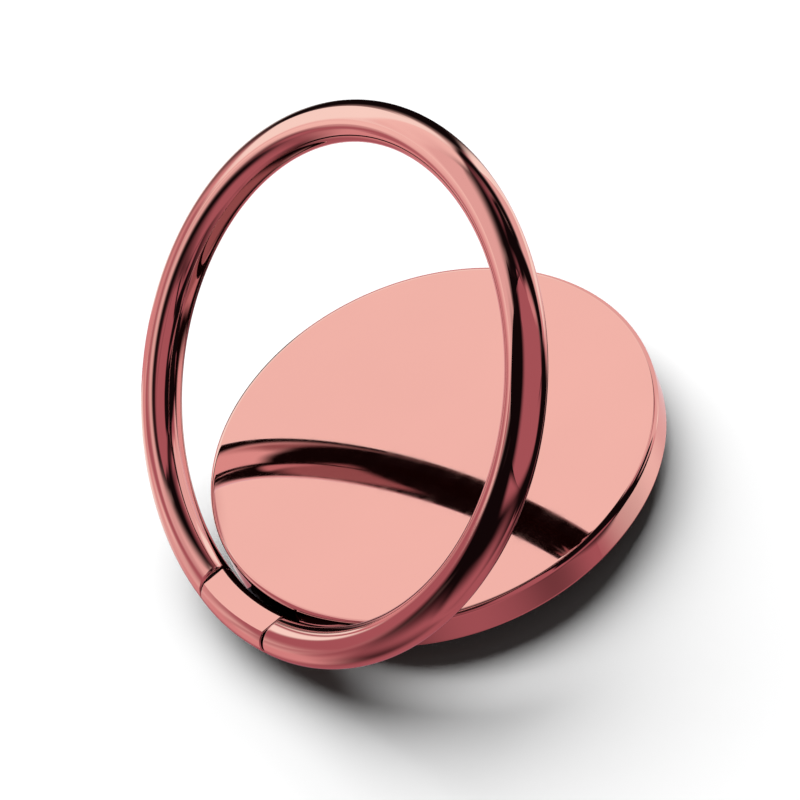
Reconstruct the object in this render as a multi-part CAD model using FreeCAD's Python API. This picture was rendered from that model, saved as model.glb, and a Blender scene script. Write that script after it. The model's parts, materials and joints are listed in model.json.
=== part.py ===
import FreeCAD, Part
import math
import os
from FreeCAD import Vector

# A phone ring holder: a round mirror-faced disc that sticks to the back of a phone,
# with a finger ring that lies round the disc's edge when it is folded.
# A steel carrier turns under the disc, and its tongue holds the hinge block outside
# the disc's wall. The ring flips about two short pins in that block.
# Frame: origin at the centre of the adhesive pad's underside, +Z out of the phone,
# hinge block towards -Y, ring raised as it is used.

# Disc and wall
disc_radius = 18.0
wall_depth = 2.8
cover_skin = 0.9
cover_wall = 1.1
face_edge_round = 0.4
wall_foot_round = 0.12
boss_radius = 7.0

# Stack under the disc
pad_thickness = 0.4
pad_inset = 0.5
base_inset = 2.0
base_thickness = 0.45
hub_height = 1.35
spigot_radius = 2.0
spigot_height = 0.6
glide_thickness = 0.15
glide_inner_play = 0.25
glide_edge_inset = 1.0
carrier_thickness = 0.5
carrier_overhang = 0.6
cover_lift = 0.2
pressure_ring_thickness = 0.4
pressure_ring_inset = 1.8

# Wave spring
spring_inner_radius = 9.5
spring_width = 3.5
spring_thickness = 0.3
spring_waves = 3

# Screws from the base plate into the cover's boss
screw_circle_radius = 4.6
screw_count = 3
screw_shank_radius = 0.8
screw_head_radius = 1.45
screw_length = 2.9
screw_recess_width = 0.35
screw_recess_depth = 0.4

# Finger ring and hinge
ring_wire_radius = 1.6
ring_gap = 0.25
ring_lift = 42.8
ring_end_round = 0.2
block_half_width = 3.87
block_flat_cut = 0.28
block_edge_round = 0.1
seam_gap = 0.16
seam_washer_thickness = 0.1
seam_washer_radius = 1.25
pin_radius = 0.6
pin_length = 4.0
pin_end_chamfer = 0.12
bush_wall = 0.3
bush_length = 1.9
bore_floor = 0.05

# Tongue of the carrier and its rivets
tongue_half_width = 3.0
tongue_reach = 0.75
tongue_inset = 0.26
tongue_root_round = 1.5
rivet_spacing = 2.0
rivet_shank_radius = 0.5
rivet_head_radius = 0.85
rivet_depth = 1.05

# Clearances
running_fit = 0.08
pin_fit = 0.03
seat_fit = 0.02
slot_fit = 0.05
screw_play = 0.05
socket_floor = 0.13
spring_play = 0.02

# Levels, worked up from the phone
base_bottom = pad_thickness
base_top = base_bottom + base_thickness
carrier_bottom = base_top + glide_thickness
carrier_top = carrier_bottom + carrier_thickness
upper_glide_top = carrier_top + glide_thickness
pressure_ring_top = upper_glide_top + pressure_ring_thickness
wall_bottom = carrier_top + cover_lift
face_level = wall_bottom + wall_depth
ceiling_level = face_level - cover_skin
hub_top = base_top + hub_height
hinge_level = carrier_top - tongue_inset + ring_wire_radius
block_top = hinge_level + ring_wire_radius - block_flat_cut

# Radii and places that follow
base_radius = disc_radius - base_inset
carrier_radius = base_radius + carrier_overhang
hub_radius = boss_radius
glide_inner_radius = hub_radius + glide_inner_play
glide_outer_radius = carrier_radius - glide_edge_inset
ring_centre_radius = disc_radius + ring_gap + ring_wire_radius
ring_end_x = block_half_width + seam_gap
hinge_radius = math.sqrt(ring_centre_radius ** 2 - ring_end_x ** 2)
ring_outer_radius = ring_centre_radius + ring_wire_radius
tongue_end_radius = ring_centre_radius + tongue_reach
bush_radius = pin_radius + pin_fit + bush_wall
bore_depth = bush_length + bore_floor
bore_end_x = block_half_width - bore_depth
pin_start_x = bore_end_x + bore_floor
pin_end_x = pin_start_x + pin_length
hinge_point = Vector(0, -hinge_radius, hinge_level)

UP = Vector(0, 0, 1)
SIDEWAYS = Vector(1, 0, 0)
ORIGIN = Vector(0, 0, 0)


def disc(radius, low, high):
    return Part.makeCylinder(radius, high - low, Vector(0, 0, low), UP)


def flat_ring(inner, outer, low, high):
    return disc(outer, low, high).cut(disc(inner, low, high))


def box_between(low, high):
    return Part.makeBox(high.x - low.x, high.y - low.y, high.z - low.z, low)


def turned(points):
    """Solid of revolution about the vertical axis from a closed profile of (radius, level)."""
    corners = [Vector(radius, 0, level) for radius, level in points]
    profile = Part.Face(Part.makePolygon(corners + corners[:1]))
    return profile.revolve(ORIGIN, UP, 360)


def rod_along_x(radius, start_x, end_x, y=-hinge_radius, z=hinge_level):
    return Part.makeCylinder(radius, end_x - start_x, Vector(start_x, y, z), SIDEWAYS)


def mirrored(shape):
    """The same piece on the hinge's left side."""
    return shape.mirror(ORIGIN, SIDEWAYS)


def rounded(shape, radius, wanted):
    """Rounds the edges of a shape that the test picks."""
    edges = [edge for edge in shape.Edges if wanted(edge)]
    return shape.makeFillet(radius, edges)


def screw_places():
    step = 2 * math.pi / screw_count
    angles = [math.pi / 2 + turn * step for turn in range(screw_count)]
    return [Vector(screw_circle_radius * math.cos(a), screw_circle_radius * math.sin(a), 0) for a in angles]


def rivet_places():
    return [Vector(side * rivet_spacing / 2, -ring_centre_radius, 0) for side in (-1, 1)]


# Fasteners, drawn at the vertical axis with the head's flat side at the given level


def countersunk(head_radius, shank_radius, head_level, tip_level, play):
    """A countersunk fastener, or with play the hole that takes it."""
    head = head_radius + play
    shank = shank_radius + play
    neck = head_level + head - shank
    return turned([(0, head_level), (head, head_level), (shank, neck), (shank, tip_level), (0, tip_level)])


def screw():
    tip = base_bottom + screw_length
    body = countersunk(screw_head_radius, screw_shank_radius, base_bottom, tip, 0)
    reach = screw_shank_radius
    half = screw_recess_width / 2
    top = base_bottom + screw_recess_depth
    for along, across in ((reach, half), (half, reach)):
        slot = box_between(Vector(-along, -across, 0), Vector(along, across, top))
        body = body.cut(slot)
    return body


def rivet():
    tip = carrier_top + rivet_depth
    return countersunk(rivet_head_radius, rivet_shank_radius, carrier_bottom, tip, 0)


# Pieces that stay with the phone


def adhesive_pad():
    return disc(base_radius - pad_inset, 0, pad_thickness)


def base_plate():
    plate = disc(base_radius, base_bottom, base_top)
    plate = plate.fuse(disc(hub_radius, base_bottom, hub_top))
    plate = plate.fuse(disc(spigot_radius, base_bottom, hub_top + spigot_height)).removeSplitter()
    for place in screw_places():
        hole = countersunk(screw_head_radius, screw_shank_radius, base_bottom, hub_top, screw_play)
        plate = plate.cut(hole.translated(place))
    return plate


def mirror_cover():
    cover = disc(disc_radius, wall_bottom, face_level)
    cover = rounded(cover, face_edge_round, lambda e: on_level(e, face_level))
    cover = rounded(cover, wall_foot_round, lambda e: on_level(e, wall_bottom))
    cover = cover.cut(disc(disc_radius - cover_wall, wall_bottom, ceiling_level))
    cover = cover.fuse(disc(boss_radius, hub_top, ceiling_level)).removeSplitter()
    spigot_seat = disc(spigot_radius + slot_fit, hub_top, hub_top + spigot_height + slot_fit)
    cover = cover.cut(spigot_seat)
    hole_end = base_bottom + screw_length + screw_play
    for place in screw_places():
        hole = Part.makeCylinder(screw_shank_radius + screw_play, hole_end - hub_top, Vector(0, 0, hub_top), UP)
        cover = cover.cut(hole.translated(place))
    return cover


def on_level(edge, level):
    box = edge.BoundBox
    return abs(box.ZMin - level) < 1e-4 and abs(box.ZMax - level) < 1e-4


def pressure_ring():
    outer = carrier_radius - pressure_ring_inset
    return flat_ring(glide_inner_radius, outer, upper_glide_top, pressure_ring_top)


def wave_line(radius, middle, rise):
    """A closed smooth curve that waves up and down round the axis."""
    count = 12 * spring_waves
    points = []
    for step in range(count):
        angle = 2 * math.pi * step / count
        level = middle + rise * math.cos(spring_waves * angle)
        points.append(Vector(radius * math.cos(angle), radius * math.sin(angle), level))
    curve = Part.BSplineCurve()
    curve.interpolate(points, PeriodicFlag=True)
    return curve.toShape()


def wave_spring():
    low = pressure_ring_top + spring_play + spring_thickness / 2
    high = ceiling_level - spring_play - spring_thickness / 2
    middle = (low + high) / 2
    rise = (high - low) / 2
    half = spring_thickness / 2
    corners = [
        (spring_inner_radius, -half),
        (spring_inner_radius + spring_width, -half),
        (spring_inner_radius + spring_width, half),
        (spring_inner_radius, half),
    ]
    lines = [wave_line(radius, middle + offset, rise) for radius, offset in corners]
    faces = [Part.makeRuledSurface(line, after) for line, after in zip(lines, lines[1:] + lines[:1])]
    shell = Part.makeShell(faces)
    shell.sewShape()
    solid = Part.makeSolid(Part.Shell(shell.Faces))
    solid.fix(1e-6, 1e-6, 1e-6)
    return solid


# Pieces that swivel with the carrier


def carrier_plate():
    plate = disc(carrier_radius, carrier_bottom, carrier_top)
    tongue = box_between(
        Vector(-tongue_half_width, -tongue_end_radius, carrier_bottom),
        Vector(tongue_half_width, -hub_radius, carrier_top),
    )
    tongue = tongue.common(disc(tongue_end_radius, carrier_bottom, carrier_top))
    plate = plate.fuse(tongue).removeSplitter()
    root_y = -math.sqrt(carrier_radius ** 2 - tongue_half_width ** 2)
    plate = rounded(plate, tongue_root_round, lambda e: is_tongue_root(e, root_y))
    plate = plate.cut(disc(hub_radius + running_fit, carrier_bottom, carrier_top))
    for place in rivet_places():
        hole = countersunk(rivet_head_radius, rivet_shank_radius, carrier_bottom, carrier_top, seat_fit)
        plate = plate.cut(hole.translated(place))
    return plate


def is_tongue_root(edge, root_y):
    box = edge.BoundBox
    upright = box.XLength < 1e-4 and box.YLength < 1e-4
    return upright and abs(box.YMin - root_y) < 1e-3


def hinge_block():
    whole = Part.makeTorus(ring_centre_radius, ring_wire_radius, Vector(0, 0, hinge_level), UP)
    reach = ring_outer_radius + 1
    floor = hinge_level - ring_wire_radius
    kept = box_between(Vector(-block_half_width, -reach, floor - 1), Vector(block_half_width, 0, block_top))
    block = whole.common(kept)
    block = rounded(block, block_edge_round, lambda e: True)
    slot_half = tongue_half_width + slot_fit
    slot = box_between(Vector(-slot_half, -reach, floor - 1), Vector(slot_half, 0, carrier_top))
    block = block.cut(slot)
    bore = rod_along_x(bush_radius + seat_fit, bore_end_x, block_half_width + 1)
    block = block.cut(bore).cut(mirrored(bore))
    hole_length = rivet_depth + seat_fit
    for place in rivet_places():
        hole = Part.makeCylinder(rivet_shank_radius + seat_fit, hole_length, Vector(0, 0, carrier_top), UP)
        block = block.cut(hole.translated(place))
    return block


def hinge_bush():
    start = bore_end_x + seat_fit
    end = start + bush_length
    return rod_along_x(bush_radius, start, end).cut(rod_along_x(pin_radius + pin_fit, start, end))


def seam_washer():
    start = block_half_width + (seam_gap - seam_washer_thickness) / 2
    end = start + seam_washer_thickness
    return rod_along_x(seam_washer_radius, start, end).cut(rod_along_x(pin_radius + pin_fit, start, end))


# Pieces that flip with the ring


def hinge_pin():
    pin = rod_along_x(pin_radius, pin_start_x, pin_end_x)
    ends = [edge for edge in pin.Edges if edge.BoundBox.XLength < 1e-4]
    return pin.makeChamfer(pin_end_chamfer, ends)


def finger_ring():
    hoop = Part.makeTorus(ring_centre_radius, ring_wire_radius, Vector(0, 0, hinge_level), UP)
    reach = ring_outer_radius + 1
    gap = box_between(Vector(-ring_end_x, -reach, 0), Vector(ring_end_x, 0, face_level + reach))
    hoop = hoop.cut(gap)
    hoop = rounded(hoop, ring_end_round, is_ring_end)
    socket = rod_along_x(pin_radius + seat_fit, ring_end_x - 1, pin_end_x + socket_floor)
    hoop = hoop.cut(socket).cut(mirrored(socket))
    return hoop.rotated(hinge_point, SIDEWAYS, ring_lift)


def is_ring_end(edge):
    box = edge.BoundBox
    return box.XLength < 1e-4 and abs(abs(box.XMin) - ring_end_x) < 1e-3


def build():
    pieces = {
        "adhesive_pad": adhesive_pad(),
        "base_plate": base_plate(),
        "lower_glide_washer": flat_ring(glide_inner_radius, glide_outer_radius, base_top, carrier_bottom),
        "carrier_plate": carrier_plate(),
        "upper_glide_washer": flat_ring(glide_inner_radius, glide_outer_radius, carrier_top, upper_glide_top),
        "pressure_ring": pressure_ring(),
        "wave_spring": wave_spring(),
        "mirror_cover": mirror_cover(),
        "hinge_block": hinge_block(),
        "finger_ring": finger_ring(),
    }
    for number, place in enumerate(screw_places(), start=1):
        pieces["base_screw_%d" % number] = screw().translated(place)
    for side, place in zip(("left", "right"), rivet_places()):
        pieces["carrier_rivet_" + side] = rivet().translated(place)
    for name, make in (("hinge_bush", hinge_bush), ("seam_washer", seam_washer), ("hinge_pin", hinge_pin)):
        pieces[name + "_right"] = make()
        pieces[name + "_left"] = mirrored(make())
    return pieces


os.makedirs("parts", exist_ok=True)
for node, shape in build().items():
    print(node, len(shape.Solids), shape.isValid(), round(shape.Volume, 2))
    shape.exportStep("parts/" + node + ".step")
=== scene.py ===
"""Phone ring holder: mirror-plated disc, swivelling hinge block and finger ring.

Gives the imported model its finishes, redraws its two round mirror pieces, and sets it in a studio.
"""

import json
import math

import bmesh
import bpy
from bpy.props import FloatProperty, FloatVectorProperty, IntProperty, PointerProperty
from bpy.types import Operator, Panel, PropertyGroup
from mathutils import Matrix, Vector


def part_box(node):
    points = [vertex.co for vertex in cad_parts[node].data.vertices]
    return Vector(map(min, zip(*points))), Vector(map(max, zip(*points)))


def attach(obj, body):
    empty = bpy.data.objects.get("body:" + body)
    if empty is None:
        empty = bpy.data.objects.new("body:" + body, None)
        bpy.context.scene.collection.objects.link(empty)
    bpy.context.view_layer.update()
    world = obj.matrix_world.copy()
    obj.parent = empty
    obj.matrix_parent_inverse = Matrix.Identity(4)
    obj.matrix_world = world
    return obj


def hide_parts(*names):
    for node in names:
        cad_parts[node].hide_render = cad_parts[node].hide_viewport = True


bl_info = {
    "name": "Phone Ring Holder",
    "version": (1, 0, 0),
    "blender": (4, 5, 0),
    "location": "View3D > Sidebar > Ring Holder",
    "description": "Mirror cover, finger ring, hinge, swivel parts and studio of a phone ring holder",
    "category": "Object",
}

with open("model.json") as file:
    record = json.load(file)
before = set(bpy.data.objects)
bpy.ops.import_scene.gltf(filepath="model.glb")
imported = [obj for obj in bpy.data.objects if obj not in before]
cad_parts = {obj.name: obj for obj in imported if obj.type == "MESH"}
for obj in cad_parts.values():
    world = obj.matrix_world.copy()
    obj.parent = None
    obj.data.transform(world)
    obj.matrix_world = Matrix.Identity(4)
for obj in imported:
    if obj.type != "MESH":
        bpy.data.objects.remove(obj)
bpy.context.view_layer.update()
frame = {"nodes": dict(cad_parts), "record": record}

MM = 0.001
MICRON = 1e-6

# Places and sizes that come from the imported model
cover_low, cover_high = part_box("mirror_cover")
hub_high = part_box("base_plate")[1]
joints = frame["record"]["behaviour"]["joints"]
ring_joint = next(joint for joint in joints if joint["name"] == "ring_flip")
hinge_point = Vector(ring_joint["pos_m"])
ring_lift = -math.radians(ring_joint["range_deg"][0])

# How finely the round pieces are drawn
TOUCHING = 1e-7  # points closer than this, in metres, are one point
SHARP = math.radians(38)  # a bend between two faces that shows as an edge
COVER_STEPS = 256  # steps of the cover round the whole disc
WIRE_SIDES = 64
HOLE_SIDES = 32
RIM_SEGMENTS = 12
EDGE_SEGMENTS = 6

# Thin strips beside a round keep the flat face and the wall true
FACE_STRIP = 0.1 * MM
WALL_STRIP = 0.08 * MM
# The same behind the ring's ends, counted in end rounds from the end face
END_STRIP = 1.25
END_CLEAR = 1.5  # the wire's own steps stop before this

SCREWS = 3
SEAT_CLEARANCE = 0.05 * MM  # the base's spigot stops this short of the bottom of its seat
ALONG_PIN = 0.999  # a face whose normal lies along the pins to this cosine closes the wire


# Sizes and colours that a user would change


def hex_colour(code):
    """Linear colour of a six-figure sRGB code."""
    parts = [int(code[at:at + 2], 16) / 255 for at in (0, 2, 4)]
    linear = [part / 12.92 if part <= 0.04045 else ((part + 0.055) / 1.055) ** 2.4 for part in parts]
    return (*linear, 1)


def length(name, description, default):
    """A size in metres for the sidebar."""
    return FloatProperty(name=name, description=description, default=default, unit="LENGTH", precision=5)


def angle(name, description, default):
    """An angle for the sidebar."""
    return FloatProperty(name=name, description=description, default=default, subtype="ANGLE", unit="ROTATION")


def level(name, description, default, most):
    """A strength of light for the sidebar."""
    return FloatProperty(name=name, description=description, default=default, min=0, max=most)


def colour(name, description, default, most=1):
    """A colour for the sidebar, which may be brighter than white where it stands for a light."""
    return FloatVectorProperty(name=name, description=description, default=default[:3], size=3, subtype="COLOR", min=0, max=most)


class CoverSizes(PropertyGroup):
    radius: length("Radius", "Outer radius of the disc", cover_high.x)
    skin: length("Face thickness", "Metal under the mirror face", 0.9 * MM)
    wall: length("Wall thickness", "Thickness of the upright wall", 1.1 * MM)
    rim_round: length("Rim round", "Radius of the polished rim", 0.4 * MM)
    foot_round: length("Foot round", "Radius of the wall's lower edge", 0.12 * MM)
    boss_radius: length("Boss radius", "Radius of the boss that the screws enter", 7 * MM)
    spigot_radius: length("Spigot seat", "Radius of the seat for the base's spigot", 2.05 * MM)
    spigot_depth: length("Spigot seat depth", "Depth of the seat for the base's spigot", 0.65 * MM)
    screw_circle: length("Screw circle", "Radius of the circle the screws stand on", 4.6 * MM)
    screw_hole: length("Screw hole", "Radius of each screw hole", 0.85 * MM)
    screw_depth: length("Screw hole depth", "Depth of each screw hole", 1.15 * MM)


class RingSizes(PropertyGroup):
    wire_radius: length("Wire radius", "Half the thickness of the ring's round wire", 1.6 * MM)
    centre_radius: length("Ring radius", "Radius of the circle through the wire's middle", 19.85 * MM)
    gap_half: length("Half opening", "Half the opening between the ring's ends", 4.03 * MM)
    end_round: length("End round", "Radius round each end of the wire", 0.2 * MM)
    socket_radius: length("Pin socket", "Radius of the pin socket in each end", 0.62 * MM)
    socket_depth: length("Socket depth", "Depth of the pin socket in each end", 2.07 * MM)
    lift: angle("Ring lift", "How far the ring stands up at rest", ring_lift)
    turns: IntProperty(name="Steps round", description="Steps of the wire round the whole ring", default=256, min=64, max=512)


class FinishColours(PropertyGroup):
    plate: colour("Rose gold", "Colour of the mirror plating", hex_colour("F3B5AA"))
    steel: colour("Turned steel", "Colour of the base plate and the pins", hex_colour("BCBCBD"))
    pad: colour("Foam pad", "Colour of the adhesive foam", hex_colour("D7D7D4"))


class StudioSettings(PropertyGroup):
    key_level: level("Key light", "Light that falls on the floor from the key", 3.6, 10)
    key_side: angle("Key direction", "Compass direction of the key, from the hinge side", math.radians(-112))
    key_height: angle("Key height", "Height of the key above the floor", math.radians(40))
    key_spread: angle("Key spread", "Width of the key as seen from the object", math.radians(76))
    fill_level: level("Fill light", "Light from all round", 0.04, 1)
    cloth: colour("Black cloth", "Colour of the studio's black cloths", hex_colour("120D10"))
    rose: colour("Rose card", "Colour of the studio's rose cards", hex_colour("AD7483"))
    blush: colour("Blush card", "Colour of the studio's blush cards", hex_colour("DDB3BC"))
    pale: colour("Pale card", "Colour of the studio's pale cards", hex_colour("EDDDE1"))
    # Mauve, lilac and sheen colour only the painted surround that second reflections see, a painted reflection and not
    # cards in the studio
    mauve: colour("Mauve card", "Colour of the mauve cards in a second reflection", hex_colour("9E93A6"))
    lilac: colour("Lilac card", "Colour of the lilac cards in a second reflection", hex_colour("CBC8E1"))
    # These two are brighter than white, which no hex value can say
    sheen: colour("Sheen", "Light of the bright cards in a second reflection", (0.88, 1.15, 1.4), 2)
    glow: colour("Bright card", "Light of the card nearest the key", (1.05, 1.3, 1.3), 2)


# Helpers for meshes


def spun(bm, steps):
    """Turns everything in the mesh once round the vertical axis."""
    everything = bm.verts[:] + bm.edges[:]
    bmesh.ops.spin(bm, geom=everything, cent=(0, 0, 0), axis=(0, 0, 1), angle=2 * math.pi, steps=steps, use_merge=True)
    bmesh.ops.remove_doubles(bm, verts=bm.verts, dist=TOUCHING)


def rounded(bm, edges, radius, segments):
    """Rounds edges with a circular bevel."""
    bmesh.ops.bevel(
        bm, geom=edges, offset=radius, offset_type="OFFSET", segments=segments, profile=0.5, material=-1, affect="EDGES",
    )


def level_loop(bm, radius, height):
    """Edges of the level circle at that radius about the vertical axis."""
    def on_circle(vert):
        return abs(vert.co.xy.length - radius) < TOUCHING and abs(vert.co.z - height) < TOUCHING
    return [edge for edge in bm.edges if all(on_circle(vert) for vert in edge.verts)]


def new_circle(bm, place, radius, sides):
    """Draws a circle and gives its edges."""
    verts = bmesh.ops.create_circle(bm, segments=sides, radius=radius, matrix=place)["verts"]
    return list(dict.fromkeys(edge for vert in verts for edge in vert.link_edges))


def carried_on(bm, edges):
    """Draws faces on from a loop of edges, and gives the new loop's points and edges."""
    made = bmesh.ops.extrude_edge_only(bm, edges=edges)["geom"]
    verts = [part for part in made if isinstance(part, bmesh.types.BMVert)]
    return verts, [part for part in made if isinstance(part, bmesh.types.BMEdge) and part.is_boundary]


def sunk(bm, mouth, way):
    """Sinks a blind hole from its mouth and closes its bottom."""
    verts, bottom = carried_on(bm, mouth)
    bmesh.ops.translate(bm, verts=verts, vec=way)
    bmesh.ops.holes_fill(bm, edges=bottom, sides=0)


def placed(name, bm, material):
    """Makes the object of a mesh and puts it in the scene."""
    mesh = bpy.data.meshes.new(name)
    bm.to_mesh(mesh)
    bm.free()
    mesh.materials.append(material)
    piece = bpy.data.objects.new(name, mesh)
    bpy.context.scene.collection.objects.link(piece)
    return piece


def finished(name, bm, body, material, node):
    """Makes a finished piece, which rides on a body and stands for a node of the model."""
    bmesh.ops.recalc_face_normals(bm, faces=bm.faces)
    for face in bm.faces:
        face.smooth = True
    for edge in bm.edges:
        edge.smooth = edge.calc_face_angle(0) < SHARP
    piece = placed(name, bm, material)
    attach(piece, body)
    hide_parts(node)


def dressed(material, *nodes):
    """Gives the model's own parts a finish."""
    for name in nodes:
        mesh = frame["nodes"][name].data
        mesh.materials.clear()
        mesh.materials.append(material)


# Helpers for materials

# Noise runs from 0 to 1, and keeps mostly between these
LOW_NOISE, HIGH_NOISE = 0.3, 0.7
# Length in mm of one wave of the wave texture at scale 1
WAVE = 0.314


def add_node(tree, kind, sockets=None, **settings):
    """Adds one node: its settings, and for each socket a value, or the output that is linked to it."""
    node = tree.nodes.new(kind)
    for name, setting in settings.items():
        setattr(node, name, setting)
    for name, given in (sockets or {}).items():
        if isinstance(given, bpy.types.NodeSocket):
            tree.links.new(given, node.inputs[name])
        else:
            node.inputs[name].default_value = given
    return node


def new_finish(name, roughness, metallic=0, ior=None):
    """A material and its shader, with the constants set on the shader's own sockets."""
    material = bpy.data.materials.new(name)
    material.use_nodes = True
    shader = material.node_tree.nodes["Principled BSDF"]
    shader.inputs["Roughness"].default_value = roughness
    shader.inputs["Metallic"].default_value = metallic
    if ior:
        shader.inputs["IOR"].default_value = ior
    return material, material.node_tree, shader


def in_millimetres(tree, scale=(1, 1, 1)):
    """Object coordinates in millimetres, stretched for one pattern."""
    coords = add_node(tree, "ShaderNodeTexCoord").outputs["Object"]
    mapping = add_node(tree, "ShaderNodeMapping", {"Vector": coords, "Scale": [part / MM for part in scale]})
    return mapping.outputs["Vector"]


def coloured(tree, shader, pattern, first, second):
    """Carries the base colour from one to another with a pattern."""
    share = add_node(tree, "ShaderNodeMapRange", {"Value": pattern, "From Min": LOW_NOISE, "From Max": HIGH_NOISE})
    mix = add_node(tree, "ShaderNodeMix", {0: share.outputs["Result"], 6: first, 7: second}, data_type="RGBA")
    tree.links.new(mix.outputs[2], shader.inputs["Base Color"])


def grained(tree, shader, pattern, roughness=None, depth=None):
    """Carries the roughness between two values with a pattern, and raises it by a real depth in metres."""
    if roughness:
        span = {"From Min": LOW_NOISE, "From Max": HIGH_NOISE, "To Min": roughness[0], "To Max": roughness[1]}
        rough = add_node(tree, "ShaderNodeMapRange", {"Value": pattern, **span})
        tree.links.new(rough.outputs["Result"], shader.inputs["Roughness"])
    if depth:
        bump = add_node(tree, "ShaderNodeBump", {"Height": pattern, "Strength": 1, "Distance": depth})
        tree.links.new(bump.outputs["Normal"], shader.inputs["Normal"])


def shade(tone, amount):
    """The same colour, darker or lighter."""
    return (*(min(1, part * amount) for part in tone[:3]), 1)


# Finishes


def rose_gold_plate():
    """Bright rose gold over polished zinc: a mirror with a trace of polishing haze."""
    found = bpy.data.materials.get("rose_gold_plate_finish")
    if found:
        return found
    gold = bpy.context.scene.ring_holder_colours.plate
    material, tree, shader = new_finish("rose_gold_plate_finish", 0.035, metallic=1)
    # Gold keeps its colour further out towards the edges than most metals
    shader.inputs["Specular Tint"].default_value = hex_colour("F9E7E5")
    # Plating thickness drifts over some ten millimetres
    vector = in_millimetres(tree)
    drift = add_node(tree, "ShaderNodeTexNoise", {"Vector": vector, "Scale": 0.09, "Detail": 2})
    coloured(tree, shader, drift.outputs["Fac"], shade(gold, 0.985), shade(gold, 1.01))
    # Haze left by the polishing wheel, drawn out along its strokes
    vector = in_millimetres(tree, (1, 0.2, 1))
    haze = add_node(tree, "ShaderNodeTexNoise", {"Vector": vector, "Scale": 1.2, "Detail": 3})
    grained(tree, shader, haze.outputs["Fac"], roughness=(0.02, 0.045))
    return material


def turned_metal(name, tone, roughness, spacing, depth, **marks):
    """Machined metal: satin, with fine tool marks that run as rings on a turned face, as bands on a pin."""
    material, tree, shader = new_finish(name, roughness, metallic=1)
    vector = in_millimetres(tree)
    waves = {"Vector": vector, "Scale": WAVE / spacing, "Distortion": 0.6, "Detail": 2, "Detail Scale": 1.5}
    tool_marks = add_node(tree, "ShaderNodeTexWave", waves, **marks)
    grained(tree, shader, tool_marks.outputs["Fac"], depth=depth)
    cloud = add_node(tree, "ShaderNodeTexNoise", {"Vector": vector, "Scale": 0.7, "Detail": 2}).outputs["Fac"]
    coloured(tree, shader, cloud, shade(tone, 0.9), shade(tone, 1.05))
    grained(tree, shader, cloud, roughness=(roughness - 0.06, roughness + 0.08))
    return material


def spring_steel():
    """Cold-rolled strip: satin, with long fine lines in the rolling direction."""
    material, tree, shader = new_finish("spring_steel_finish", 0.3, metallic=1)
    vector = in_millimetres(tree, (0.15, 9, 9))
    lines = add_node(tree, "ShaderNodeTexNoise", {"Vector": vector, "Scale": 1, "Detail": 4})
    grained(tree, shader, lines.outputs["Fac"], roughness=(0.24, 0.38), depth=2 * MICRON)
    vector = in_millimetres(tree)
    cloud = add_node(tree, "ShaderNodeTexNoise", {"Vector": vector, "Scale": 0.4, "Detail": 2})
    coloured(tree, shader, cloud.outputs["Fac"], hex_colour("A9ABB0"), hex_colour("BBBCBF"))
    return material


def zinc_plate():
    """Bright zinc plating: clear, with faint yellow and blue clouds of the passivation."""
    material, tree, shader = new_finish("zinc_plate_finish", 0.25, metallic=1)
    vector = in_millimetres(tree)
    clouds = add_node(tree, "ShaderNodeTexNoise", {"Vector": vector, "Scale": 0.9, "Detail": 3})
    coloured(tree, shader, clouds.outputs["Fac"], hex_colour("C6CBD3"), hex_colour("D3CDBB"))
    crystals = add_node(tree, "ShaderNodeTexNoise", {"Vector": vector, "Scale": 14, "Detail": 2})
    grained(tree, shader, crystals.outputs["Fac"], roughness=(0.2, 0.32), depth=1.5 * MICRON)
    return material


def acetal_film():
    """Natural acetal film: milky, a little waxy."""
    material, tree, shader = new_finish("acetal_film_finish", 0.42, ior=1.48)
    # Light goes in by about the film's own thickness
    shader.inputs["Subsurface Weight"].default_value = 0.1
    shader.inputs["Subsurface Scale"].default_value = 0.4 * MM
    vector = in_millimetres(tree)
    milk = add_node(tree, "ShaderNodeTexNoise", {"Vector": vector, "Scale": 0.5, "Detail": 2})
    coloured(tree, shader, milk.outputs["Fac"], hex_colour("E4E4DE"), hex_colour("EFEFEB"))
    ripples = add_node(tree, "ShaderNodeTexNoise", {"Vector": vector, "Scale": 6, "Detail": 2})
    grained(tree, shader, ripples.outputs["Fac"], depth=2 * MICRON)
    return material


def black_nylon():
    """Moulded black nylon washer with a fine matte grain."""
    material, tree, shader = new_finish("black_nylon_finish", 0.5, ior=1.53)
    vector = in_millimetres(tree)
    grain = add_node(tree, "ShaderNodeTexNoise", {"Vector": vector, "Scale": 18, "Detail": 3}).outputs["Fac"]
    coloured(tree, shader, grain, hex_colour("0B0B0C"), hex_colour("161617"))
    grained(tree, shader, grain, roughness=(0.42, 0.6), depth=4 * MICRON)
    return material


def foam_adhesive():
    """Closed-cell acrylic foam with a tacky skin: fine cells and a dull sheen."""
    tone = bpy.context.scene.ring_holder_colours.pad
    material, tree, shader = new_finish("foam_adhesive_finish", 0.55, ior=1.47)
    vector = in_millimetres(tree)
    cells = add_node(tree, "ShaderNodeTexVoronoi", {"Vector": vector, "Scale": 7, "Randomness": 1}, feature="F1")
    grained(tree, shader, cells.outputs["Distance"], roughness=(0.45, 0.62), depth=12 * MICRON)
    cloud = add_node(tree, "ShaderNodeTexNoise", {"Vector": vector, "Scale": 0.35, "Detail": 2})
    coloured(tree, shader, cloud.outputs["Fac"], shade(tone, 0.93), shade(tone, 1.04))
    return material


# Pieces


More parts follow.
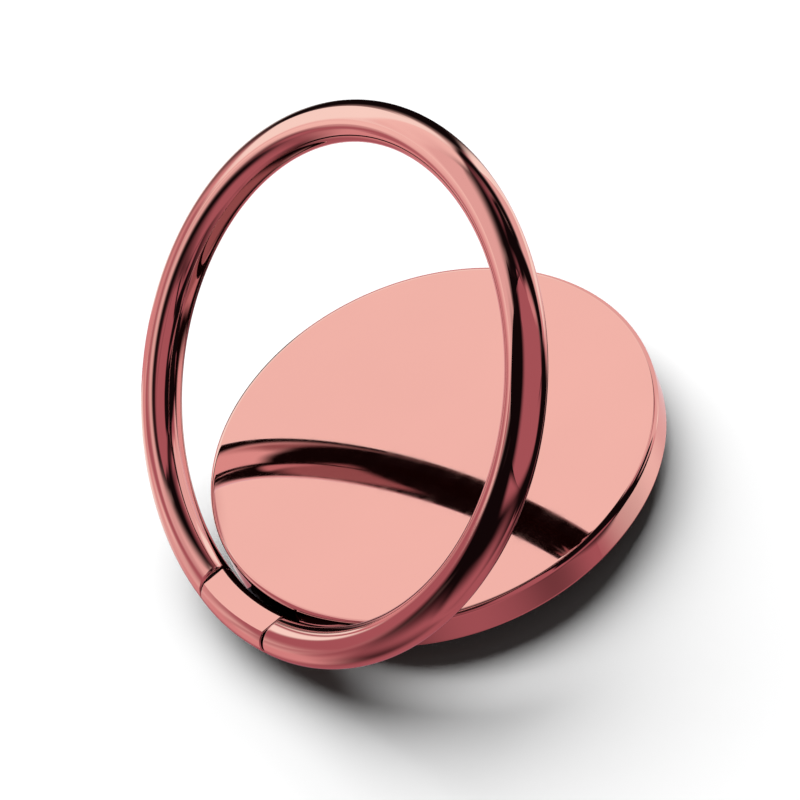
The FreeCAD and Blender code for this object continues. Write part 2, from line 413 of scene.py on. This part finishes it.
class RINGHOLDER_OT_mirror_cover(Operator):
    """Turn the mirror cover: face, rim, wall, and the boss with its screw holes and spigot seat"""
    bl_idname = "ringholder.mirror_cover"
    bl_label = "Mirror Cover"

    def execute(self, context):
        size = context.scene.ring_holder_cover
        face, foot, boss = cover_high.z, cover_low.z, hub_high.z - size.spigot_depth + SEAT_CLEARANCE
        ceiling, inner = face - size.skin, size.radius - size.wall
        bm = bmesh.new()
        shell = [
            (0, face), (size.radius - size.rim_round - FACE_STRIP, face), (size.radius, face),
            (size.radius, face - size.rim_round - WALL_STRIP),
            (size.radius, foot + size.foot_round + WALL_STRIP), (size.radius, foot),
            (inner, foot), (inner, ceiling), (size.boss_radius, ceiling), (size.boss_radius, boss),
        ]
        bottom = boss + size.spigot_depth
        seat = [(size.spigot_radius, boss), (size.spigot_radius, bottom), (0, bottom)]
        for profile in (shell, seat):
            verts = [bm.verts.new((radius, 0, height)) for radius, height in profile]
            for pair in zip(verts, verts[1:]):
                bm.edges.new(pair)
        spun(bm, COVER_STEPS)
        # Screw holes, sunk from circles drawn on the boss, the first opposite the hinge
        holes = []
        for number in range(SCREWS):
            turn = math.pi / 2 + number * 2 * math.pi / SCREWS
            centre = size.screw_circle * math.cos(turn), size.screw_circle * math.sin(turn), boss
            holes.append(new_circle(bm, Matrix.Translation(centre), size.screw_hole, HOLE_SIDES))
        outline = level_loop(bm, size.boss_radius, boss) + level_loop(bm, size.spigot_radius, boss)
        outline += [edge for hole in holes for edge in hole]
        bmesh.ops.triangle_fill(bm, edges=outline, use_beauty=True, normal=(0, 0, -1))
        for hole in holes:
            sunk(bm, hole, (0, 0, size.screw_depth))
        bmesh.ops.recalc_face_normals(bm, faces=bm.faces)
        rounded(bm, level_loop(bm, size.radius, face), size.rim_round, RIM_SEGMENTS)
        rounded(bm, level_loop(bm, size.radius, foot), size.foot_round, EDGE_SEGMENTS)
        finished("mirror_cover_shell", bm, "base", rose_gold_plate(), "mirror_cover")
        return {"FINISHED"}


class RINGHOLDER_OT_finger_ring(Operator):
    """Bend the round wire into the finger ring, face its two ends and drill their pin sockets"""
    bl_idname = "ringholder.finger_ring"
    bl_label = "Finger Ring"

    def execute(self, context):
        size = context.scene.ring_holder_ring
        # From the ring's middle to the line that both pins lie on
        seam = math.sqrt(size.centre_radius ** 2 - size.gap_half ** 2)
        bm = bmesh.new()
        across = Matrix.Translation((size.centre_radius, 0, 0)) @ Matrix.Rotation(math.pi / 2, 4, "X")
        new_circle(bm, across, size.wire_radius, WIRE_SIDES)
        spun(bm, size.turns)
        # Opened at the hinge a few steps wide of each end
        step = 2 * math.pi / size.turns
        inner = size.centre_radius - size.wire_radius
        clear = math.ceil(math.asin((size.gap_half + END_CLEAR * size.end_round) / inner) / step) * step
        def bearing(face):
            middle = face.calc_center_median()
            return abs(math.atan2(middle.x, -middle.y))
        bmesh.ops.delete(bm, geom=[face for face in bm.faces if bearing(face) < clear], context="FACES")
        for side in (-1, 1):
            self.face_end(bm, size, seam, side)
        bmesh.ops.remove_doubles(bm, verts=bm.verts, dist=TOUCHING)
        # Raised about the hinge
        raised = Matrix.Rotation(size.lift, 4, "X") @ Matrix.Translation((0, seam, 0))
        bmesh.ops.transform(bm, matrix=Matrix.Translation(hinge_point) @ raised, verts=bm.verts)
        finished("finger_ring_wire", bm, "ring", rose_gold_plate(), "finger_ring")
        return {"FINISHED"}

    def face_end(self, bm, size, seam, side):
        """Carries the wire on to its flat end, rounds that end and sinks the socket."""
        def at_this_end(edge):
            place = edge.verts[0].co
            return edge.is_boundary and side * place.x > 0 and place.y < 0
        rim = [edge for edge in bm.edges if at_this_end(edge)]
        for reach in (size.gap_half + END_STRIP * size.end_round, size.gap_half):
            verts, rim = carried_on(bm, rim)
            for vert in verts:
                around = vert.co.xy.length
                vert.co.xy = side * reach, -math.sqrt(around ** 2 - reach ** 2)
        bmesh.ops.holes_fill(bm, edges=rim, sides=0)
        bmesh.ops.recalc_face_normals(bm, faces=bm.faces)
        rounded(bm, rim, size.end_round, EDGE_SEGMENTS)
        # The flat end face gives way to a ring of faces round the socket's mouth
        def closes_wire(face):
            return abs(face.normal.x) > ALONG_PIN and side * face.calc_center_median().x > 0
        cap = max((face for face in bm.faces if closes_wire(face)), key=lambda face: len(face.verts))
        border = list(cap.edges)
        bmesh.ops.delete(bm, geom=[cap], context="FACES_ONLY")
        place = Matrix.Translation((side * size.gap_half, -seam, 0)) @ Matrix.Rotation(math.pi / 2, 4, "Y")
        mouth = new_circle(bm, place, size.socket_radius, len(border))
        bmesh.ops.bridge_loops(bm, edges=border + mouth)
        sunk(bm, mouth, (side * size.socket_depth, 0, 0))


class RINGHOLDER_OT_hinge_parts(Operator):
    """Finish the hinge block, its bushes, pins and seam washers"""
    bl_idname = "ringholder.hinge_parts"
    bl_label = "Hinge Parts"

    def execute(self, context):
        steel = context.scene.ring_holder_colours.steel
        bands = {"wave_type": "BANDS", "bands_direction": "X"}
        brass = turned_metal("turned_brass_finish", hex_colour("C9A256"), 0.26, 0.08, 2 * MICRON, **bands)
        ground = turned_metal("ground_pin_finish", steel, 0.22, 0.05, 1 * MICRON, **bands)
        dressed(rose_gold_plate(), "hinge_block")
        dressed(brass, "hinge_bush_left", "hinge_bush_right")
        dressed(ground, "hinge_pin_left", "hinge_pin_right")
        dressed(black_nylon(), "seam_washer_left", "seam_washer_right")
        return {"FINISHED"}


class RINGHOLDER_OT_swivel_parts(Operator):
    """Finish the stack under the cover: base plate, carrier, films, pressure ring, spring, screws and rivets"""
    bl_idname = "ringholder.swivel_parts"
    bl_label = "Swivel Parts"

    def execute(self, context):
        steel = context.scene.ring_holder_colours.steel
        rings = {"wave_type": "RINGS", "rings_direction": "Z"}
        dressed(turned_metal("turned_steel_finish", steel, 0.3, 0.12, 3 * MICRON, **rings), "base_plate")
        dressed(spring_steel(), "carrier_plate", "wave_spring")
        screws = ["base_screw_%d" % number for number in range(1, SCREWS + 1)]
        dressed(zinc_plate(), "pressure_ring", "carrier_rivet_left", "carrier_rivet_right", *screws)
        dressed(acetal_film(), "lower_glide_washer", "upper_glide_washer")
        return {"FINISHED"}


class RINGHOLDER_OT_adhesive_pad(Operator):
    """Finish the foam pad that sticks to the phone"""
    bl_idname = "ringholder.adhesive_pad"
    bl_label = "Adhesive Pad"

    def execute(self, context):
        dressed(foam_adhesive(), "adhesive_pad")
        return {"FINISHED"}


# Studio


# Cards and cloths round the object, far away: colour, corners as (side, height), and the softness of
# their edges
CARDS = (
    ("cloth", [(-34.6, -80), (-27.8, 80), (155.7, 80), (139.8, -80)], 4.5),
    ("cloth", [(137.9, -60.8), (179.3, -69.9), (-128.4, 66.2), (-133.6, 84.1), (79, 63.8)], 3),
    ("cloth", [(-165.6, 41.3), (-121.5, 57.6), (-30.5, 14.2), (139.5, 63.6)], 5.8),
    ("rose", [(30.9, 26.7), (13.4, 32.9), (-5.9, 61), (138.2, 63.9), (151.1, 31.2), (155, 7.9),
              (135.6, -22.5), (119.8, -43.6)], 5.9),
    ("rose", [(-40.6, -3.3), (-38.6, 7.4), (102.6, -16.3), (93.4, -34.9), (161.3, -68),
              (123.1, -37.4), (-16.6, -55.4)], 20),
    ("rose", [(-54, -13.9), (-89.7, -41.1), (-146.5, -42.1), (131.3, -43.8), (120.4, -42.8),
              (69.8, -48.9)], 5.5),
    ("blush", [(-99.1, 3.2), (101.2, 35.9), (-25.6, -46.1), (-16.9, -55.4), (-120.7, -10.9)], 11.9),
    ("cloth", [(-171.9, 31.9), (-169.5, 33.1), (-72.3, 7.6), (-129.2, -54.7), (-154, -24.1)], 18.7),
    ("pale", [(-169.5, 53.2), (-82.7, 45), (-13.1, 18.5), (8.7, 70), (-36.6, 78.6)], 16.4),
    ("glow", [(-90.5, 4.7), (-45.2, 18.3), (-58.4, 29.2), (-125.3, 40.3)], 1.5),
    ("cloth", [(6.3, 76.9), (-168.9, 84.8), (127.7, -45.4), (121, 35.2)], 3),
    ("cloth", [(79.3, -55.2), (-109.2, -35.8), (-110.5, -38.1), (152.1, -48.2)], 9.6),
    ("cloth", [(-25.9, -54.2), (54.6, -54.9), (53.8, -54.8), (-0.5, 21)], 20),
    ("glow", [(-107.3, -45.4), (-60.9, -27.4), (-51.3, -7.5), (-108.5, -20.6)], 7.6),
    ("blush", [(129.5, 35.6), (-150.6, 40.9), (-152.5, -44.6), (178.6, -42.6)], 3.5),
    ("pale", [(-23.5, 9.6), (-10.3, 30.6), (-20.8, 56.5), (-33.6, 16.7)], 7.9),
    ("cloth", [(-8.5, 42.5), (31.9, -26.3), (2.7, 72.6), (-23.7, 64.2)], 6.7),
    ("glow", [(177.3, -35.2), (-135.8, -38.7), (-159.8, 33.7), (168.3, 20.1)], 4.2),
    ("rose", [(149.7, 19.6), (175.5, 31.3), (-138.8, 39.2), (137.9, 56)], 13.9),
    ("blush", [(-44.4, -42.8), (-14.8, -47.7), (-19.4, -10.5), (-62.6, -12.3)], 10.9),
    ("pale", [(149.3, -8.5), (180, -19.2), (-170.3, 41.1), (154.3, 45.7)], 6),
    ("pale", [(-64.8, 45.2), (-41.3, 15.8), (-24.1, 46.3), (-110.1, 63.1)], 2),
    ("rose", [(-49, -29.2), (-46.3, -18), (-24.1, 8.2), (-42.8, -5)], 6.6),
    ("cloth", [(117.2, 0.5), (140.4, -14.3), (137.4, 13.3), (122.7, 37.3)], 3),
    ("glow", [(-133.8, 32.2), (-114.1, 25), (-112.6, 39.6), (-135.3, 43.2)], 5.2),
    ("rose", [(24.7, 26), (82.7, 74), (73.7, 79), (6.4, 78.1)], 1.5),
)

# Painted reflection: what the second image of the surround shows, over black cloth, darker than the real surround, so
# the ring's mirror image in the disc carries painted shade and a few painted highlights
PAINTED_SECOND_REFLECTION_CARDS = (
    ("mauve", [(35.6, 23.3), (104.4, -7.3), (111.4, 43.7), (-18.5, 78.8)], 8.4),
    ("mauve", [(-22.5, -32.4), (-23.2, -10.7), (-24.6, 20), (-133.2, 47.1)], 1.5),
    ("lilac", [(101.3, 15.6), (134, 43.1), (135.1, 44.1), (117, 67.4)], 4.7),
    ("sheen", [(165.1, -2.9), (140.3, 30.6), (-112.6, 50.5), (-153.9, -5.3)], 7.6),
    ("sheen", [(-144.4, 59.7), (-100, 29.3), (-17.7, 70.6), (-141.5, 75.4)], 9.3),
    ("lilac", [(-123.8, -51.8), (-77.1, -53.4), (-78.1, -7.9), (-137.7, -9.3)], 1.5),
    ("mauve", [(-171.6, -11.1), (-157.6, -2.8), (-152.4, 6), (169.7, -1.3)], 6.7),
    ("sheen", [(-89.6, -1.2), (-23.4, -5.4), (-87.2, 51.5), (-114.1, 25.4)], 7),
    ("cloth", [(145, 47), (-147.5, 44), (-157.4, 58), (146.2, 55.3)], 1.5),
)

# Boards close to the ring: colour, middle and half sizes in millimetres, roll in degrees, softness of
# the edges
BOARDS = (
    ("rose", (-3.1, -30.0, 15.5), (17.0, 15.5), 6.3, 10.1),
    ("cloth", (-7.4, -78.1, 55.1), (37.2, 56.0), 19.1, 29.8),
    ("cloth", (24.3, -11.1, 29.9), (7.5, 24.6), 27.7, 5.2),
    ("cloth", (17.8, 15.5, 29.4), (4.5, 12.9), 16.3, 2.5),
    ("blush", (-20.0, 13.7, 3.5), (16.0, 6.3), -0.5, 3.1),
    ("rose", (24.7, 5.7, 29.9), (6.4, 11.2), 2.5, 0.5),
    ("rose", (-27.7, -16.4, 20.3), (11.1, 4.3), 32.8, 4.3),
    ("cloth", (22.5, 8.5, 8.5), (12.4, 4.0), 2.1, 1.3),
    ("blush", (-43.5, -15.7, 3.0), (5.3, 25.6), 33.8, 2.7),
    ("cloth", (18.8, -15.5, 20.4), (10.3, 6.4), 5.8, 2.2),
    ("rose", (-32.9, -38.8, 21.7), (14.2, 8.7), -34.9, 7.3),
    ("pale", (8.1, 22.8, 28.3), (6.0, 8.0), -1.1, 0.5),
    ("cloth", (14.1, 18.6, 40.3), (9.7, 4.1), -17.3, 2.9),
    ("rose", (21.7, -6.0, 3.5), (14.3, 2.5), 7.4, 2.5),
    ("rose", (-6.7, -30.4, 35.7), (7.7, 5.7), 4.4, 5.7),
    ("cloth", (18.6, 2.3, 17.8), (7.0, 23.3), -7.3, 1.1),
    ("pale", (-1.8, 20.6, 3.0), (15.3, 13.3), -5.2, 4.0),
    ("cloth", (6.2, 17.2, 34.7), (10.5, 4.0), -22.1, 3.1),
    ("rose", (5.9, -22.1, 19.2), (5.8, 4.2), -7.6, 4.2),
    ("cloth", (29.5, -36.4, 36.0), (15.7, 2.5), 5.6, 1.8),
    ("cloth", (18.5, -1.7, 12.8), (6.5, 4.0), -3.1, 1.5),
)

# The paper behind the cards, a little warmer than the white that the camera sees
PAPER = hex_colour("FFFDFD")
WHITE = hex_colour("FFFFFF")

# What the boards face, in mm: the middle of disc and raised ring
BOARD_AIM = Vector((0, -6, 12))

FLOOR_REACH = 3  # metres from the middle to each side
KEY_AWAY = 0.5  # metres

# Where the photo was taken from, as its outlines give it: degrees, and mm from the middle of the disc's face
CAMERA_SIDE, CAMERA_HEIGHT, CAMERA_ROLL = 68.348, 45.047, -23.736
CAMERA_AWAY, CAMERA_RIGHT, CAMERA_UP = 386.69, -2.408, 3.073
CAMERA_LENS, CAMERA_SENSOR = 225.72, 36
CAMERA_NEAR, CAMERA_FAR = 0.01, 20


def direction(side, height):
    """Unit vector towards a compass side, counted from the hinge side, and a height, both in degrees."""
    turn, rise = math.radians(side), math.radians(height)
    return Vector((math.sin(turn) * math.cos(rise), -math.cos(turn) * math.cos(rise), math.sin(rise)))


def covered(tree, cover, value, start, end):
    """Fades a cover in with a value, from start to end, and gives the new cover."""
    ends = {"From Min": start, "From Max": end}
    fade = add_node(tree, "ShaderNodeMapRange", {"Value": value, **ends}, interpolation_type="SMOOTHSTEP")
    both = add_node(tree, "ShaderNodeMath", {0: cover, 1: fade.outputs["Result"]}, operation="MULTIPLY")
    return both.outputs["Value"]


def hung_card(tree, vector, below, tint, corners, softness):
    """Lays one card with straight soft edges over what hangs behind it."""
    ends = [direction(*corner) for corner in corners]
    middle = sum(ends, Vector())
    # Only the half of the surround that the card hangs in
    towards = add_node(tree, "ShaderNodeVectorMath", {0: vector, 1: middle}, operation="DOT_PRODUCT")
    half = add_node(tree, "ShaderNodeMath", {0: towards.outputs["Value"], 1: 0}, operation="GREATER_THAN")
    cover = half.outputs["Value"]
    reach = math.sin(math.radians(softness))
    for first, second in zip(ends, ends[1:] + ends[:1]):
        edge = first.cross(second).normalized()
        edge = edge if edge.dot(middle) > 0 else -edge
        inside = add_node(tree, "ShaderNodeVectorMath", {0: vector, 1: edge}, operation="DOT_PRODUCT")
        cover = covered(tree, cover, inside.outputs["Value"], -reach, reach)
    card = add_node(tree, "ShaderNodeMix", {0: cover, 6: below, 7: tint}, data_type="RGBA")
    return card.outputs[2]


class RINGHOLDER_OT_studio(Operator):
    """Lay the floor, hang the cards, and set the key light and the camera"""
    bl_idname = "ringholder.studio"
    bl_label = "Studio"

    def execute(self, context):
        context.scene.view_settings.view_transform = "Standard"
        studio = context.scene.ring_holder_studio
        lights = ("cloth", "rose", "blush", "pale", "mauve", "lilac", "sheen", "glow")
        tints = {name: (*getattr(studio, name), 1) for name in lights}
        self.lay_floor()
        self.hang_cards(context.scene, tints, studio.fill_level)
        for number, (kind, *board) in enumerate(BOARDS, 1):
            self.stand_board("board_%d" % number, tints[kind], *board)
        self.set_key(context.scene, studio)
        self.set_camera(context.scene)
        return {"FINISHED"}

    def lay_floor(self):
        """A plain white floor that takes the object's shadow."""
        material, _, shader = new_finish("white_floor", 0.9, ior=1.45)
        shader.inputs["Base Color"].default_value = hex_colour("F7F7F7")
        shader.inputs["Specular IOR Level"].default_value = 0
        bm = bmesh.new()
        bmesh.ops.create_grid(bm, x_segments=2, y_segments=2, size=FLOOR_REACH)
        floor = placed("floor", bm, material)
        # The plating sees the cards round and below it instead
        floor.visible_glossy = False

    def hang_cards(self, scene, tints, fill_level):
        """A white surround for the camera, with cards and cloths that only reflected and bent rays see."""
        world = bpy.data.worlds.new("studio_surround")
        world.use_nodes = True
        scene.world = world
        tree = world.node_tree
        tree.nodes.remove(tree.nodes["Background"])
        vector = add_node(tree, "ShaderNodeTexCoord").outputs["Generated"]
        hung = []
        for backing, cards in ((PAPER, CARDS), (tints["cloth"], PAINTED_SECOND_REFLECTION_CARDS)):
            paper = add_node(tree, "ShaderNodeRGB")
            paper.outputs[0].default_value = backing
            seen = paper.outputs[0]
            for kind, corners, softness in cards:
                seen = hung_card(tree, vector, seen, tints[kind], corners, softness)
            hung.append(seen)
        first, second, painted_black_deeper, fill, white = [
            add_node(tree, "ShaderNodeBackground", {"Color": tint, "Strength": strength}).outputs[0]
            for tint, strength in ((hung[0], 1), (hung[1], 1), (tints["cloth"], 1), (WHITE, fill_level), (WHITE, 1))
        ]
        path = add_node(tree, "ShaderNodeLightPath").outputs
        bent = {0: path["Is Glossy Ray"], 1: path["Is Transmission Ray"]}
        mirrored = add_node(tree, "ShaderNodeMath", bent, operation="MAXIMUM").outputs["Value"]
        # Each row takes over from the rows above it where its test holds
        seen = first
        for light, value, test, limit in (
            # Painted reflection: second reflections see the darker painted surround, and third and later ones painted
            # black cloth
            (second, path["Glossy Depth"], "GREATER_THAN", 1.5),
            (painted_black_deeper, path["Glossy Depth"], "GREATER_THAN", 2.5),
            (fill, mirrored, "LESS_THAN", 0.5),
            # Light thrown by the plating on the floor stays plain
            (fill, path["Diffuse Depth"], "GREATER_THAN", 0.5),
            (white, path["Is Camera Ray"], "GREATER_THAN", 0.5),
        ):
            holds = add_node(tree, "ShaderNodeMath", {0: value, 1: limit}, operation=test).outputs["Value"]
            seen = add_node(tree, "ShaderNodeMixShader", {0: holds, 1: seen, 2: light}).outputs[0]
        tree.links.new(seen, tree.nodes["World Output"].inputs["Surface"])

    def stand_board(self, name, tint, middle, half, roll, softness):
        """A soft-edged board beside the ring, turned towards it, that only reflected and bent rays see."""
        material = bpy.data.materials.new(name + "_card")
        material.use_nodes = True
        material.cycles.emission_sampling = "NONE"
        tree = material.node_tree
        tree.nodes.clear()
        # Seen in the first image only, and never by light that has left the floor
        path = add_node(tree, "ShaderNodeLightPath").outputs
        depths = {0: path["Diffuse Depth"], 1: 2, 2: path["Glossy Depth"]}
        bounces = add_node(tree, "ShaderNodeMath", depths, operation="MULTIPLY_ADD").outputs["Value"]
        cover = add_node(tree, "ShaderNodeMath", {0: bounces, 1: 1.5}, operation="LESS_THAN").outputs["Value"]
        coords = add_node(tree, "ShaderNodeTexCoord").outputs["Object"]
        away = add_node(tree, "ShaderNodeVectorMath", {0: coords}, operation="ABSOLUTE").outputs["Vector"]
        split = add_node(tree, "ShaderNodeSeparateXYZ", {0: away})
        for axis, reach in zip("XY", half):
            cover = covered(tree, cover, split.outputs[axis], reach * MM, (reach - softness) * MM)
        clear = add_node(tree, "ShaderNodeBsdfTransparent").outputs[0]
        card = add_node(tree, "ShaderNodeEmission", {"Color": tint, "Strength": 1}).outputs[0]
        surface = add_node(tree, "ShaderNodeMixShader", {0: cover, 1: clear, 2: card}).outputs[0]
        add_node(tree, "ShaderNodeOutputMaterial", {"Surface": surface})
        bm = bmesh.new()
        bmesh.ops.create_grid(bm, x_segments=1, y_segments=1, size=1)
        bmesh.ops.scale(bm, vec=(half[0] * MM, half[1] * MM, 1), verts=bm.verts)
        board = placed(name, bm, material)
        facing = (BOARD_AIM - Vector(middle)).normalized()
        across = Vector((0, 0, 1)).cross(facing).normalized()
        turned = Matrix((across, facing.cross(across), facing)).transposed().to_4x4()
        rolled = turned @ Matrix.Rotation(math.radians(roll), 4, "Z")
        board.matrix_world = Matrix.Translation(Vector(middle) * MM) @ rolled
        board.visible_camera = board.visible_diffuse = board.visible_shadow = False

    def set_key(self, scene, studio):
        """One wide soft light from the side across the hinge, that the plating doesn't see."""
        lamp = bpy.data.lights.new("key_light", "SUN")
        lamp.energy = studio.key_level / math.sin(studio.key_height)
        lamp.angle = studio.key_spread
        key = bpy.data.objects.new("key_light", lamp)
        aim = direction(math.degrees(studio.key_side), math.degrees(studio.key_height))
        key.location = aim * KEY_AWAY
        key.rotation_mode = "QUATERNION"
        key.rotation_quaternion = aim.to_track_quat("Z", "Y")
        key.visible_glossy = False
        scene.collection.objects.link(key)

    def set_camera(self, scene):
        """A long lens from the photo's side, rolled as the photo is."""
        data = bpy.data.cameras.new("camera")
        data.lens, data.sensor_width = CAMERA_LENS, CAMERA_SENSOR
        data.clip_start, data.clip_end = CAMERA_NEAR, CAMERA_FAR
        camera = bpy.data.objects.new("camera", data)
        scene.collection.objects.link(camera)
        roll = math.radians(CAMERA_ROLL)
        back = direction(CAMERA_SIDE, CAMERA_HEIGHT)
        right = direction(CAMERA_SIDE + 90, 0)
        above = back.cross(right)
        across = right * math.cos(roll) + above * math.sin(roll)
        upward = above * math.cos(roll) - right * math.sin(roll)
        camera.matrix_world = Matrix((across, upward, back)).transposed().to_4x4()
        place = back * CAMERA_AWAY + across * CAMERA_RIGHT + upward * CAMERA_UP
        camera.location = place * MM + Vector((0, 0, cover_high.z))
        scene.camera = camera


class RINGHOLDER_PT_sidebar(Panel):
    """Sizes, colours and pieces of the ring holder"""
    bl_idname = "RINGHOLDER_PT_sidebar"
    bl_label = "Phone Ring Holder"
    bl_space_type = "VIEW_3D"
    bl_region_type = "UI"
    bl_category = "Ring Holder"

    def draw(self, context):
        scene = context.scene
        for group in (scene.ring_holder_cover, scene.ring_holder_ring, scene.ring_holder_colours, scene.ring_holder_studio):
            column = self.layout.column(align=True)
            for name in group.bl_rna.properties.keys():
                if name not in {"rna_type", "name"}:
                    column.prop(group, name)
        column = self.layout.column(align=True)
        for operator in OPERATORS:
            column.operator(operator.bl_idname)


GROUPS = {
    "ring_holder_cover": CoverSizes,
    "ring_holder_ring": RingSizes,
    "ring_holder_colours": FinishColours,
    "ring_holder_studio": StudioSettings,
}

OPERATORS = (
    RINGHOLDER_OT_mirror_cover,
    RINGHOLDER_OT_finger_ring,
    RINGHOLDER_OT_hinge_parts,
    RINGHOLDER_OT_swivel_parts,
    RINGHOLDER_OT_adhesive_pad,
    RINGHOLDER_OT_studio,
)


def register():
    for cls in (*GROUPS.values(), *OPERATORS, RINGHOLDER_PT_sidebar):
        bpy.utils.register_class(cls)
    for name, group in GROUPS.items():
        setattr(bpy.types.Scene, name, PointerProperty(type=group))


def unregister():
    for name in GROUPS:
        delattr(bpy.types.Scene, name)
    for cls in reversed((*GROUPS.values(), *OPERATORS, RINGHOLDER_PT_sidebar)):
        bpy.utils.unregister_class(cls)


def main():
    register()
    bpy.ops.ringholder.mirror_cover()
    bpy.ops.ringholder.finger_ring()
    bpy.ops.ringholder.hinge_parts()
    bpy.ops.ringholder.swivel_parts()
    bpy.ops.ringholder.adhesive_pad()
    bpy.ops.ringholder.studio()


if __name__ == "__main__":
    main()
